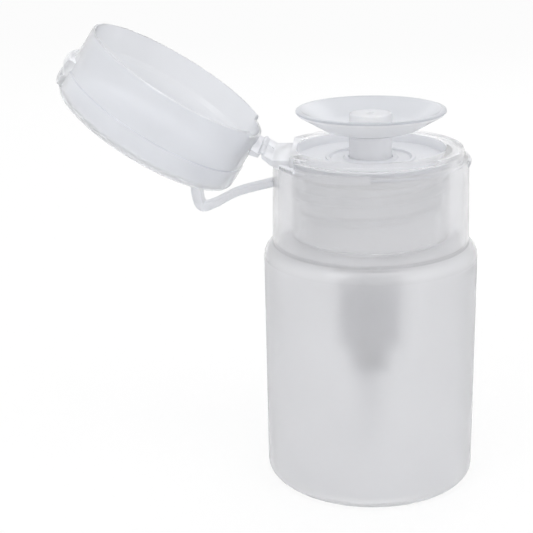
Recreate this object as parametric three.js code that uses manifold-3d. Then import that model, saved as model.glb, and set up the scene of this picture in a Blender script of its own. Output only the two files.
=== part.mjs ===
// Push-down pump dispenser bottle with a flip lid, in millimetres, +Z up.
// The origin is the middle of the flat base. The lid opens towards -X and is shown open.
import * as THREE from 'three';
import { mergeVertices } from 'three/addons/utils/BufferGeometryUtils.js';
import Module from 'manifold-3d';

const wasm = await Module();
wasm.setup();

// Facets round a full turn
const wideFacets = 48;
const midFacets = 32;
const thinFacets = 24;
const cornerSteps = 4;

// Clearances
const seatGap = 0.15;
const slideGap = 0.15;
const snugGap = 0.1;
const overrun = 2;

// Bottle
const bodyOverhang = 1.7;
const bodyWall = 1;
const shoulderZ = 48.8;
const shoulderCorner = 3;
const baseCorner = 1.6;
const baseWall = 1.2;
const baseGrooveRadius = 16;
const baseGrooveWidth = 1.4;
const baseGrooveDepth = 0.4;
const baseGrooveSlope = 0.2;

// Neck, a 28 mm finish
const neckRadius = 12.5;
const neckWall = 1.3;
const neckHeight = 13;
const neckLip = 0.4;
const neckRootFillet = 0.8;

// Balls
const inletBallRadius = 2.2;
const inletBallRoom = 0.55;
const outletBallRadius = 1.6;
const outletBallRoom = 0.3;
const ballGap = 0.12;

// Gasket between the neck and the pump's flange
const gasketHeight = 0.8;
const gasketRoom = 0.6;

// Pump housing
const housingWall = 0.9;
const housingDepth = 36.7;
const housingCone = 1.4;
const flangeOverhang = 0.2;
const flangeHeight = 1.1;
const chamberWall = 1.1;
const chamberMouthBore = 1.6;
const chamberMouthHeight = 0.5;
const valveDepth = 5.1;
const seatBore = 1.2;
const seatPlate = 1.2;
const socketDepth = 7;
const socketWall = 0.9;
const ventRadius = 0.6;
const ventDepth = 3.9;

// Dip tube
const tubeRadius = 1.95;
const tubeWall = 0.65;
const tubeFloorGap = 1.2;
const tubeBevel = 2.4;

// Guide ring that closes the housing
const guideWall = 0.85;
const guideOverhang = 3.4;
const guideFlangeHeight = 0.9;
const guideRim = 0.7;
const guideRimHeight = 0.4;
const guideDepth = 6.6;

// Piston and its rod
const pistonHeight = 5;
const pistonLip = 1.1;
const pistonWaist = 1.3;
const pistonBore = 2;
const rodWall = 0.7;
const rodBore = 1.1;
const rodRise = 1.1;
const spigotInset = 0.3;

// Press dish
const dishRadius = 14.4;
const dishRise = 7.3;
const dishDepth = 5.1;
const dishWall = 0.9;
const dishRimHeight = 0.9;
const dishRimEdge = 0.2;
const dishMidRadius = 9;
const dishMidRise = 1.3;
const bossRadius = 4.1;
const bossHeight = 4.3;
const bossEdge = 0.4;
const bossPlate = 1.2;
const outletHole = 0.8;
const hubWall = 1.45;
const hubDepth = 7.5;
const hubCounterStep = 0.7;
const hubCounterDepth = 3;

// Return spring
const wireRadius = 0.35;
const springRadius = 2.9;
const springTurns = 9;
const endTurnPitch = 1.2;
const stepsPerTurn = 8;
const wireSides = 5;

// Collar, from the threaded skirt outwards
const skirtRoom = 1.45;
const skirtWall = 1.35;
const skirtFootGap = 1;
const wellStep = 0.2;
const wellWall = 1.1;
const deckHeight = 1;
const deckGap = 0.3;
const stepRise = 0.25;
const ringWidth = 3.55;
const ringHeight = 1.9;
const ringEdge = 0.6;
const ringRoof = 1.2;
const ringStep = 0.95;
const collarDraft = 0.4;
const collarWall = 1.1;
const collarFootGap = 0.4;

// Flat cut across the ring at the hinge, and the ledge in front of it
const chordDepth = 2.75;
const chordWall = 1;
const ledgeHeight = 0.9;

// Hinge
const hingeReach = 1.6;
const hingeRise = 2.45;
const openDegrees = 147;
const webClear = 0.7;
const webRadius = 0.42;
const webWidth = 5.2;
const webInset = 0.4;
const hingeSlot = 4.4;
const bracketTipWidth = 0.5;
const bracketTipHeight = 0.4;
const bracketSlope = 1.4;
const gussetDrop = 0.05;
const lugRise = 1.3;
const lugHeight = 1.8;

// Flip lid, measured along its own axis from its rim
const lidInset = 0.05;
const lidDraft = 0.25;
const lidDepth = 13.7;
const lidRimWall = 0.5;
const lidWall = 1.1;
const lidRoof = 1.1;
const lidSeatGap = 0.2;
const lidStepDepth = 6.2;
const bandDepth = 8.7;
const bandStep = 0.2;
const bandEdge = 1.5;
const notchHeight = 1;
const notchGap = 0.3;
const tabReach = 1.5;
const tabLow = 6.8;
const tabFaceHeight = 1.6;
const tabHigh = 9.9;
const tabGroove = 0.75;
const tabLipInset = 0.25;
const tabLipRound = 0.4;
const tabHalfWidth = 7.2;
const tabRound = 0.6;

// Catch below the lid's rim, opposite the hinge
const catchHeight = 1.5;
const catchReach = 0.4;
const catchHalfWidth = 4;
const catchDrop = 0.1;

// Strap that snaps the lid open, its bends measured from the open lid's low corner
const strapHalfWidth = 1.8;
const strapThickness = 1.25;
const strapEndThickness = 2.5;
const strapDrop = 5.3;
const strapSagInset = 1.95;
const strapSagDrop = 0.5;
const strapBendReach = 2.75;
const strapBendDrop = 2.85;
const strapKneeReach = 5.3;
const strapKneeDrop = 3.4;
const strapRiseReach = 6.25;
const strapRiseDrop = 1.1;
const strapEndReach = 6.4;
const strapSteps = 20;
const strapGap = 0.3;

// Widths worked out from the sizes above, from the outlet ball outwards
const chamberBore = inletBallRadius + inletBallRoom;
const outletChamberBore = outletBallRadius + outletBallRoom;
const rodRadius = outletChamberBore + rodWall;
const hubBore = rodRadius + snugGap;
const hubRadius = hubBore + hubWall;
const guideBore = hubRadius + slideGap;
const guideSleeve = guideBore + guideWall;
const housingBore = guideSleeve + slideGap;
const guideFlangeRadius = housingBore + guideOverhang;
const gasketBore = housingBore + housingWall + gasketRoom;
const flangeRadius = neckRadius + flangeOverhang;
const tubeBore = tubeRadius - tubeWall;
const skirtBore = neckRadius + skirtRoom;
const skirtOuter = skirtBore + skirtWall;
const wellOuter = skirtOuter + wellStep;
const wellRadius = wellOuter - wellWall;
const ringRadius = wellRadius + ringWidth;
const collarTopRadius = ringRadius + ringStep;
const collarFootRadius = collarTopRadius + collarDraft;
const bodyRadius = collarFootRadius + bodyOverhang;
const chordX = chordDepth - ringRadius;
const hingeX = -collarTopRadius - hingeReach;
const lidRimRadius = collarTopRadius - lidInset;
const lidRadius = lidRimRadius + lidDraft;
const webOuterY = hingeSlot / 2 + webWidth;
const ledgeHalfWidth = webOuterY + webInset;

// Heights worked out from the sizes above, from the shoulder upwards
const neckTopZ = shoulderZ + neckHeight;
const gasketZ = neckTopZ + seatGap;
const flangeZ = gasketZ + gasketHeight + seatGap;
const flangeTopZ = flangeZ + flangeHeight;
const guideZ = flangeTopZ + seatGap;
const deckZ = flangeTopZ + seatGap;
const deckTopZ = deckZ + deckHeight;
const stepZ = deckTopZ + stepRise;
const ringTopZ = stepZ + ringHeight;
const ledgeTopZ = stepZ + ledgeHeight;
const hingeZ = stepZ + hingeRise;
const lidRimZ = stepZ + lidSeatGap;
const lidTopZ = lidRimZ + lidDepth;
const dishRimZ = ringTopZ + dishRise;
const dishRootZ = dishRimZ - dishDepth;
const dishMidZ = dishRootZ + dishMidRise;
const bossTopZ = dishRootZ + bossHeight;
const rodTopZ = dishRootZ + rodRise;
const hubSkirtZ = dishRootZ - hubDepth;
const guideFootZ = guideZ - guideDepth;
const pistonTopZ = guideFootZ - seatGap;
const pistonZ = pistonTopZ - pistonHeight;
const housingFloorZ = flangeZ - housingDepth;
const seatZ = housingFloorZ - valveDepth;
const ventZ = flangeZ - ventDepth;
const collarFootZ = shoulderZ + collarFootGap;
const strapFootZ = stepZ - strapDrop;
const openAngle = THREE.MathUtils.degToRad(openDegrees);

// Points of a quarter turn about (r, z) from one angle in degrees to another
function corner(r, z, radius, from, to, steps = cornerSteps) {
  const points = [];
  for (let i = 0; i <= steps; i++) {
    const angle = THREE.MathUtils.degToRad(from + (to - from) * i / steps);
    points.push([r + radius * Math.cos(angle), z + radius * Math.sin(angle)]);
  }
  return points;
}

// A geometry with shared corners, no flat triangles and its faces pointing out
function welded(geometry) {
  geometry.deleteAttribute('normal');
  geometry.deleteAttribute('uv');
  const merged = mergeVertices(geometry);
  const index = merged.index.array;
  const position = merged.attributes.position;
  const kept = [];
  for (let i = 0; i < index.length; i += 3) {
    const [a, b, c] = [index[i], index[i + 1], index[i + 2]];
    if (a !== b && b !== c && c !== a) kept.push(a, b, c);
  }
  const at = (i) => new THREE.Vector3().fromBufferAttribute(position, i);
  let volume = 0;
  for (let i = 0; i < kept.length; i += 3) {
    volume += at(kept[i]).dot(at(kept[i + 1]).cross(at(kept[i + 2])));
  }
  if (volume < 0) kept.reverse();
  merged.setIndex(kept);
  return merged;
}

function solid(geometry) {
  const merged = welded(geometry);
  return new wasm.Manifold(new wasm.Mesh({
    numProp: 3,
    vertProperties: new Float32Array(merged.attributes.position.array),
    triVerts: new Uint32Array(merged.index.array),
  }));
}

// A closed profile of [radius, z] points turned about the Z axis
function revolved(profile, facets) {
  const outline = profile.map(([r, z]) => new THREE.Vector2(r, z));
  outline.push(outline[0].clone());
  return solid(new THREE.LatheGeometry(outline, facets).rotateX(Math.PI / 2));
}

// An outline of [x, z] points made into a slab from one y to another
function slabBetween(outline, lowY, highY) {
  const shape = new THREE.Shape(outline.map(([x, z]) => new THREE.Vector2(x, z)));
  const geometry = new THREE.ExtrudeGeometry(shape, { depth: highY - lowY, bevelEnabled: false });
  return solid(geometry.rotateX(Math.PI / 2).translate(0, highY, 0));
}

function slab(outline, halfWidth) {
  return slabBetween(outline, -halfWidth, halfWidth);
}

function block([x0, y0, z0], [x1, y1, z1]) {
  const box = new THREE.BoxGeometry(x1 - x0, y1 - y0, z1 - z0);
  return solid(box.translate((x0 + x1) / 2, (y0 + y1) / 2, (z0 + z1) / 2));
}

// Plastics and metal
const plastic = (color, roughness, opacity) => new THREE.MeshStandardMaterial({
  color, roughness, metalness: 0, transparent: true, opacity,
});
const frostedPlastic = plastic(0xe4e6ea, 0.55, 0.7);
const clearPlastic = plastic(0xdfe3ee, 0.3, 0.6);
const pumpPlastic = plastic(0xd4d6dc, 0.4, 0.8);
const foam = new THREE.MeshStandardMaterial({ color: 0xf2f2f0, roughness: 0.9, metalness: 0 });
const steel = new THREE.MeshStandardMaterial({ color: 0xa9acb4, roughness: 0.25, metalness: 1 });

function meshOf(name, shape, material) {
  const { vertProperties, triVerts } = shape.getMesh();
  const geometry = new THREE.BufferGeometry();
  geometry.setAttribute('position', new THREE.BufferAttribute(new Float32Array(vertProperties), 3));
  geometry.setIndex(new THREE.BufferAttribute(new Uint32Array(triVerts), 1));
  geometry.computeVertexNormals();
  const mesh = new THREE.Mesh(geometry, material);
  mesh.name = name;
  return mesh;
}

// Blow-moulded bottle: one wall from the base round the shoulder and up the neck
function bottle() {
  const grooveEnd = baseGrooveRadius + baseGrooveWidth;
  const neckInner = neckRadius - neckWall;
  const shoulderFootZ = shoulderZ - shoulderCorner;
  return revolved([
    [0, 0],
    [baseGrooveRadius, 0],
    [baseGrooveRadius + baseGrooveSlope, baseGrooveDepth],
    [grooveEnd - baseGrooveSlope, baseGrooveDepth],
    [grooveEnd, 0],
    ...corner(bodyRadius - baseCorner, baseCorner, baseCorner, -90, 0),
    ...corner(bodyRadius - shoulderCorner, shoulderFootZ, shoulderCorner, 0, 90, 2 * cornerSteps),
    [neckRadius + neckRootFillet, shoulderZ],
    [neckRadius, shoulderZ + neckRootFillet],
    [neckRadius, neckTopZ - neckLip],
    [neckRadius - neckLip, neckTopZ],
    [neckInner, neckTopZ],
    [neckInner, shoulderZ],
    [neckInner + bodyWall, shoulderZ - bodyWall],
    ...corner(bodyRadius - shoulderCorner, shoulderFootZ, shoulderCorner - bodyWall, 90, 0),
    ...corner(bodyRadius - baseCorner, baseWall + baseCorner - bodyWall, baseCorner - bodyWall, 0, -90, 2),
    [0, baseWall],
  ], wideFacets);
}

function neckGasket() {
  return revolved([
    [gasketBore, gasketZ],
    [neckRadius - neckLip, gasketZ],
    [neckRadius - neckLip, gasketZ + gasketHeight],
    [gasketBore, gasketZ + gasketHeight],
  ], midFacets);
}

// Pump cylinder with its flange, valve chamber, ball seat and tube socket
function pumpHousing() {
  const outer = housingBore + housingWall;
  const chamberOuter = chamberBore + chamberWall;
  const socketBore = tubeRadius + snugGap;
  const socketOuter = socketBore + socketWall;
  const seatTopZ = seatZ + chamberBore - seatBore;
  const socketTopZ = seatZ - seatPlate;
  const coneFootZ = housingFloorZ + housingCone;
  const body = revolved([
    [socketBore, socketTopZ - socketDepth],
    [socketOuter, socketTopZ - socketDepth],
    [socketOuter, socketTopZ],
    [chamberOuter, seatZ],
    [chamberOuter, housingFloorZ - housingWall],
    [outer, coneFootZ - housingWall],
    [outer, flangeZ],
    [flangeRadius, flangeZ],
    [flangeRadius, flangeTopZ],
    [housingBore, flangeTopZ],
    [housingBore, coneFootZ],
    [springRadius + 2 * wireRadius, housingFloorZ],
    [chamberMouthBore, housingFloorZ],
    [chamberMouthBore, housingFloorZ - chamberMouthHeight],
    [chamberBore, housingFloorZ - chamberMouthHeight - chamberBore + chamberMouthBore],
    [chamberBore, seatTopZ],
    [seatBore, seatZ],
    [seatBore, socketTopZ],
    [socketBore, socketTopZ],
  ], midFacets);
  const vent = new THREE.CylinderGeometry(ventRadius, ventRadius, housingBore + overrun, thinFacets / 2);
  vent.rotateZ(Math.PI / 2).translate((housingBore + overrun) / 2, 0, ventZ);
  return body.subtract(solid(vent));
}

// Ring pressed into the housing's mouth, which guides the hub of the dish
function guideRing() {
  const rimZ = guideZ + guideFlangeHeight;
  return revolved([
    [guideBore, guideFootZ],
    [guideSleeve, guideFootZ],
    [guideSleeve, guideZ],
    [guideFlangeRadius, guideZ],
    [guideFlangeRadius, rimZ + guideRimHeight],
    [guideFlangeRadius - guideRim, rimZ + guideRimHeight],
    [guideFlangeRadius - guideRim - guideRimHeight, rimZ],
    [guideBore + guideRim + guideRimHeight, rimZ],
    [guideBore + guideRim, rimZ + guideRimHeight],
    [guideBore, rimZ + guideRimHeight],
  ], midFacets);
}

// Tube from the socket to just above the bottle's floor, cut slantwise
function dipTube() {
  const topZ = seatZ - seatPlate - seatGap;
  const footZ = baseWall + tubeFloorGap;
  const tube = revolved([
    [tubeBore, footZ],
    [tubeRadius, footZ],
    [tubeRadius, topZ],
    [tubeBore, topZ],
  ], thinFacets);
  const cut = slab([
    [-tubeRadius - seatGap, footZ - overrun],
    [tubeRadius + overrun, footZ - overrun],
    [tubeRadius + overrun, footZ + tubeBevel],
  ], tubeRadius + overrun);
  return tube.subtract(cut);
}

// Height at which a ball rests in a cone of 45 degrees that starts at a bore
function ballHeight(ballRadius, bore, z) {
  return z - bore + (ballRadius + ballGap) * Math.SQRT2;
}

function ball(radius, z) {
  const sphere = new THREE.SphereGeometry(radius, thinFacets / 2, thinFacets / 3);
  return solid(sphere.rotateX(Math.PI / 2).translate(0, 0, z));
}

// Cup piston with a lip at each end, round the rod's spigot
function piston() {
  const lip = housingBore - snugGap;
  const waist = lip - pistonWaist;
  return revolved([
    [pistonBore, pistonZ],
    [waist, pistonZ],
    [lip - pistonWaist / 2, pistonZ],
    [lip, pistonZ + pistonLip / 2],
    [lip, pistonZ + pistonLip],
    [waist, pistonZ + 2 * pistonLip],
    [waist, pistonTopZ - 2 * pistonLip],
    [lip, pistonTopZ - pistonLip],
    [lip, pistonTopZ - pistonLip / 2],
    [lip - pistonWaist / 2, pistonTopZ],
    [pistonBore, pistonTopZ],
  ], midFacets);
}

// Hollow rod: a spigot in the piston, and a cone for the outlet ball at its top
function pistonRod() {
  const spigot = pistonBore - snugGap;
  const coneTop = outletSeatZ() + outletChamberBore - rodBore;
  return revolved([
    [rodBore, pistonZ + spigotInset],
    [spigot, pistonZ + spigotInset],
    [spigot, pistonTopZ + seatGap],
    [rodRadius, pistonTopZ + seatGap],
    [rodRadius, rodTopZ],
    [outletChamberBore, rodTopZ],
    [outletChamberBore, coneTop],
    [rodBore, outletSeatZ()],
  ], thinFacets);
}

function outletSeatZ() {
  return rodTopZ - outletBallRadius - outletChamberBore / 2;
}

// Saucer with a raised boss in the middle and a hub that slides in the guide ring
function pressDish() {
  const counterbore = hubBore + hubCounterStep;
  const socketTopZ = rodTopZ + seatGap;
  const chamber = outletChamberBore + snugGap;
  const chamberTopZ = bossTopZ - bossPlate;
  const rimZ = dishRimZ - dishRimHeight;
  const floorZ = dishRootZ + dishWall;
  return revolved([
    [counterbore, hubSkirtZ],
    [hubRadius, hubSkirtZ],
    [hubRadius, dishRootZ],
    [dishMidRadius, dishMidZ],
    [dishRadius - 2 * dishRimEdge, rimZ],
    [dishRadius, rimZ + 2 * dishRimEdge],
    [dishRadius, dishRimZ - dishRimEdge],
    [dishRadius - dishRimEdge, dishRimZ],
    [dishRadius - dishWall, dishRimZ],
    [dishMidRadius - dishWall / 2, dishMidZ + dishWall],
    [bossRadius + dishWall, floorZ],
    [bossRadius, floorZ + bossEdge],
    [bossRadius, bossTopZ - bossEdge],
    [bossRadius - bossEdge, bossTopZ],
    [outletHole, bossTopZ],
    [outletHole, chamberTopZ],
    [chamber, chamberTopZ],
    [chamber, socketTopZ],
    [hubBore, socketTopZ],
    [hubBore, hubSkirtZ + hubCounterDepth],
    [counterbore, hubSkirtZ + hubCounterDepth - hubCounterStep],
  ], midFacets);
}

// Centre line of the return spring: two close end turns and open turns between them
function springPoints() {
  const lowZ = housingFloorZ + seatGap + wireRadius;
  const highZ = pistonZ - seatGap - wireRadius;
  const openPitch = (highZ - lowZ - 2 * endTurnPitch) / (springTurns - 2);
  const points = [];
  let z = lowZ;
  for (let i = 0; i <= springTurns * stepsPerTurn; i++) {
    const turn = i / stepsPerTurn;
    const angle = 2 * Math.PI * turn;
    points.push(new THREE.Vector3(springRadius * Math.cos(angle), springRadius * Math.sin(angle), z));
    const isEnd = turn < 1 || turn >= springTurns - 1;
    z += (isEnd ? endTurnPitch : openPitch) / stepsPerTurn;
  }
  return points;
}

// One unbroken tube of a few sides along the points of a coil about the Z axis
function returnSpring() {
  const points = springPoints();
  const corners = [];
  const up = new THREE.Vector3(0, 0, 1);
  points.forEach((point, i) => {
    const before = points[Math.max(i - 1, 0)];
    const after = points[Math.min(i + 1, points.length - 1)];
    const along = after.clone().sub(before).normalize();
    const outward = new THREE.Vector3(point.x, point.y, 0).normalize();
    const across = new THREE.Vector3().crossVectors(along, outward).normalize();
    if (across.dot(up) < 0) across.negate();
    for (let k = 0; k < wireSides; k++) {
      const angle = 2 * Math.PI * k / wireSides;
      corners.push(point.clone()
        .addScaledVector(outward, wireRadius * Math.cos(angle))
        .addScaledVector(across, wireRadius * Math.sin(angle)));
    }
  });
  const faces = [];
  for (let i = 0; i < points.length - 1; i++) {
    for (let k = 0; k < wireSides; k++) {
      const a = i * wireSides + k;
      const b = i * wireSides + (k + 1) % wireSides;
      faces.push(a, b, a + wireSides, b, b + wireSides, a + wireSides);
    }
  }
  const last = (points.length - 1) * wireSides;
  for (let k = 1; k < wireSides - 1; k++) {
    faces.push(0, k + 1, k);
    faces.push(last, last + k, last + k + 1);
  }
  const geometry = new THREE.BufferGeometry().setFromPoints(corners);
  geometry.setIndex(faces);
  return solid(geometry);
}

// Least free gap between points of the coil that lie at least half a turn apart
function leastSpringGap() {
  const points = springPoints();
  let least = Infinity;
  for (let i = 0; i < points.length; i++) {
    for (let j = i + stepsPerTurn / 2; j < points.length; j++) {
      least = Math.min(least, points[i].distanceTo(points[j]));
    }
  }
  return least - 2 * wireRadius;
}

// Screw collar: outer wall, stepped ring, well with its deck, and the threaded skirt inside
function collar() {
  const ringInner = ringRadius - collarWall;
  const roofZ = ringTopZ - ringRoof;
  const shell = revolved([
    [collarFootRadius, collarFootZ],
    [collarTopRadius, stepZ],
    [ringRadius, stepZ],
    ...corner(ringRadius - ringEdge, ringTopZ - ringEdge, ringEdge, 0, 90, cornerSteps - 1),
    [wellRadius + ringEdge / 2, ringTopZ],
    [wellRadius, ringTopZ - ringEdge / 2],
    [wellRadius, deckTopZ],
    [guideFlangeRadius + deckGap, deckTopZ],
    [guideFlangeRadius + deckGap, deckZ],
    [skirtBore, deckZ],
    [skirtBore, collarFootZ + skirtFootGap],
    [skirtOuter, collarFootZ + skirtFootGap],
    [skirtOuter, deckZ - wellWall / 2],
    [wellOuter, deckZ],
    [wellOuter, roofZ],
    [ringInner, roofZ],
    [ringInner, stepZ - collarWall / 2],
    [collarTopRadius - collarWall, stepZ - collarWall],
    [collarFootRadius - collarWall, collarFootZ],
  ], wideFacets);
  return shell.add(hingeLand()).subtract(chordCut()).add(hingeBracket()).add(thumbCatch());
}

// Solid ground for the flat wall across the ring at the hinge
function hingeLand() {
  const inside = chordX + chordWall;
  const disc = revolved([
    [0, deckZ],
    [collarTopRadius - collarWall / 2, deckZ],
    [collarTopRadius - collarWall / 2, stepZ - collarWall / 2],
    [ringRadius - ringEdge, stepZ - collarWall / 2],
    [ringRadius - ringEdge, ringTopZ],
    [0, ringTopZ],
  ], wideFacets);
  return disc.intersect(block(
    [-collarFootRadius, -collarFootRadius, deckZ - overrun],
    [inside, collarFootRadius, ringTopZ + overrun],
  ));
}

// Room for the lid's rim to swing, cut across the ring down to the step
function chordCut() {
  return block(
    [-collarFootRadius - overrun, -collarFootRadius, stepZ],
    [chordX, collarFootRadius, ringTopZ + overrun],
  );
}

// Ledge and two arms that carry the hinge, with a slot for the strap between them
function hingeBracket() {
  const tipZ = hingeZ - webClear;
  return slab([
    [chordX + chordWall / 2, stepZ - collarWall],
    [-collarTopRadius + 2 * collarWall, stepZ - collarWall],
    [-collarTopRadius, stepZ - gussetDrop],
    [hingeX, tipZ - bracketTipHeight],
    [hingeX, tipZ],
    [hingeX + bracketTipWidth, tipZ],
    [hingeX + bracketTipWidth + bracketSlope, ledgeTopZ],
    [chordX + chordWall / 2, ledgeTopZ],
  ], ledgeHalfWidth).subtract(strapSlot());
}

// Slot in the middle of the hinge, outside the collar's wall
function strapSlot() {
  return block(
    [hingeX - overrun, -hingeSlot / 2, stepZ - collarWall - overrun],
    [-collarTopRadius, hingeSlot / 2, hingeZ + lugHeight + overrun],
  );
}

// Low rib under the lid's rim, where a thumb pushes the tab up
function thumbCatch() {
  const topZ = stepZ - catchDrop;
  const root = collarTopRadius - collarWall / 2;
  const face = collarTopRadius + catchReach;
  const rib = revolved([
    [root, topZ - catchHeight],
    [collarTopRadius + catchDrop, topZ - catchHeight],
    [face, topZ - catchHeight / 2],
    [face, topZ - catchHeight / 4],
    [collarTopRadius + catchDrop, topZ],
    [root, topZ],
  ], wideFacets);
  return rib.intersect(block(
    [0, -catchHalfWidth, topZ - catchHeight - overrun],
    [face + overrun, catchHalfWidth, topZ + overrun],
  ));
}

// Thin webs that bend between the bracket's arms and the lid's lugs
function hingeWeb(side) {
  const outline = corner(hingeX, hingeZ, webRadius, 0, 360, 2 * cornerSteps).slice(1);
  const ends = [side * hingeSlot / 2, side * webOuterY];
  return slabBetween(outline, Math.min(...ends), Math.max(...ends));
}

// Flip lid in its closed place: rim at lidRimZ, roof at lidTopZ
function closedLid() {
  const rimInner = lidRimRadius - lidRimWall;
  const wallInner = lidRadius - lidWall;
  const band = lidRadius + bandStep;
  const roofZ = lidTopZ - lidRoof;
  const shell = revolved([
    [0, roofZ],
    [wallInner - bandEdge / 2, roofZ],
    [wallInner, roofZ - bandEdge / 2],
    [wallInner, lidRimZ + lidStepDepth],
    [rimInner, lidRimZ + lidStepDepth - lidWall],
    [rimInner, lidRimZ],
    [lidRimRadius - lidRimWall / 2, lidRimZ],
    [lidRimRadius, lidRimZ + lidRimWall / 2],
    [lidRadius, lidRimZ + bandDepth - bandStep],
    [band, lidRimZ + bandDepth],
    ...corner(band - bandEdge, lidTopZ - bandEdge, bandEdge, 0, 90),
    [0, lidTopZ],
  ], wideFacets);
  const notch = block(
    [-lidRadius - overrun, -ledgeHalfWidth - notchGap, lidRimZ - overrun],
    [chordX + overrun, ledgeHalfWidth + notchGap, lidRimZ + notchHeight],
  );
  return shell.subtract(notch).add(thumbTab()).add(hingeLug());
}

// Thumb tab at the front of the lid: a rounded rib, a groove and a lip under the crown
function thumbTab() {
  const root = lidRadius - lidRimWall;
  const face = lidRadius + tabReach;
  const lip = face - tabLipInset;
  const lowZ = lidRimZ + tabLow;
  const highZ = lidRimZ + tabHigh;
  const ring = revolved([
    [root, lowZ],
    [face - tabRound, lowZ],
    [face, lowZ + tabRound],
    [face, lowZ + tabFaceHeight],
    [face - tabGroove, highZ],
    [lip, highZ + tabLipRound],
    [lip, lidTopZ - bandEdge + tabLipRound],
    [lip - tabLipRound, lidTopZ - bandEdge + 2 * tabLipRound],
    [root, lidTopZ - lidRoof / 2],
  ], wideFacets);
  return ring.intersect(block(
    [0, -tabHalfWidth, lowZ - overrun],
    [face + overrun, tabHalfWidth, highZ + overrun],
  ));
}

// Two lugs on the lid's wall that end at the hinge
function hingeLug() {
  const root = -lidRimRadius + lidRimWall / 2;
  return slab([
    [hingeX, hingeZ + webClear],
    [root, hingeZ + webClear],
    [root, hingeZ + lugHeight],
    [-lidRimRadius, hingeZ + lugHeight],
    [hingeX, hingeZ + lugRise],
  ], webOuterY).subtract(strapSlot());
}

// Turns a point of the closed lid about the hinge to its open place
function opened([x, z]) {
  const dx = x - hingeX;
  const dz = z - hingeZ;
  const cos = Math.cos(openAngle);
  const sin = Math.sin(openAngle);
  return [hingeX + dx * cos - dz * sin, hingeZ + dx * sin + dz * cos];
}

// Height at x of the open lid's roof, on the mid plane
function roofHeight(x) {
  const [ax, az] = opened([-lidRadius, lidTopZ]);
  const [bx, bz] = opened([lidRadius, lidTopZ]);
  return az + (x - ax) * (bz - az) / (bx - ax);
}

// Bent band from the collar's wall, round a knee and up to the open lid's roof
function springStrap() {
  const share = (strapFootZ - collarFootZ) / (stepZ - collarFootZ);
  const wallX = -(collarFootRadius - collarDraft * share) - strapGap;
  const [cornerX, cornerZ] = opened([-lidRadius - bandStep, lidTopZ]);
  const endX = cornerX - strapEndReach;
  const course = new THREE.SplineCurve([
    new THREE.Vector2(wallX, strapFootZ),
    new THREE.Vector2(cornerX + strapSagInset, cornerZ - strapSagDrop),
    new THREE.Vector2(cornerX - strapBendReach, cornerZ - strapBendDrop),
    new THREE.Vector2(cornerX - strapKneeReach, cornerZ - strapKneeDrop),
    new THREE.Vector2(cornerX - strapRiseReach, cornerZ - strapRiseDrop),
    new THREE.Vector2(endX, roofHeight(endX) - strapGap - strapEndThickness / 2),
  ]);
  const below = [];
  const above = [];
  for (let i = 0; i <= strapSteps; i++) {
    const t = i / strapSteps;
    const { x, y } = course.getPointAt(t);
    const along = course.getTangentAt(t);
    const half = (strapThickness + (strapEndThickness - strapThickness) * t ** 2) / 2;
    below.push([x + along.y * -half, y + along.x * half]);
    above.push([x + along.y * half, y + along.x * -half]);
  }
  return slab([...below, ...above.reverse()], strapHalfWidth);
}

// Assembly: the lid hangs in a group that stands at the hinge and is turned open
function assembly() {
  const part = new THREE.Group();
  const inletBallZ = ballHeight(inletBallRadius, seatBore, seatZ);
  const outletBallZ = ballHeight(outletBallRadius, rodBore, outletSeatZ());
  part.add(
    meshOf('bottle', bottle(), frostedPlastic),
    meshOf('neck_gasket', neckGasket(), foam),
    meshOf('pump_housing', pumpHousing(), pumpPlastic),
    meshOf('guide_ring', guideRing(), pumpPlastic),
    meshOf('dip_tube', dipTube(), pumpPlastic),
    meshOf('inlet_ball', ball(inletBallRadius, inletBallZ), steel),
    meshOf('return_spring', returnSpring(), steel),
    meshOf('piston', piston(), pumpPlastic),
    meshOf('piston_rod', pistonRod(), pumpPlastic),
    meshOf('outlet_ball', ball(outletBallRadius, outletBallZ), steel),
    meshOf('press_dish', pressDish(), clearPlastic),
    meshOf('collar', collar(), clearPlastic),
    meshOf('hinge_web_front', hingeWeb(-1), clearPlastic),
    meshOf('hinge_web_back', hingeWeb(1), clearPlastic),
    meshOf('spring_strap', springStrap(), clearPlastic),
  );
  const hinge = new THREE.Group();
  hinge.position.set(hingeX, 0, hingeZ);
  hinge.rotation.y = -openAngle;
  const lid = meshOf('flip_lid', closedLid(), clearPlastic);
  lid.position.set(-hingeX, 0, -hingeZ);
  hinge.add(lid);
  part.add(hinge);
  return part;
}

console.log('Least gap of the return spring to itself, mm:', leastSpringGap().toFixed(2));

export default assembly();
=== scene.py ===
"""Push-down pump bottle with a flip lid: fine surfaces, plastics, light and camera round its CAD frame.

Lengths are written in millimetres and turned into metres where a mesh is made. +Z is up along the
bottle's axis, the open lid is towards -X, and the photograph looks along +Y.
"""
import math

import bmesh
import bpy
from mathutils import Matrix, Vector


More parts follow.
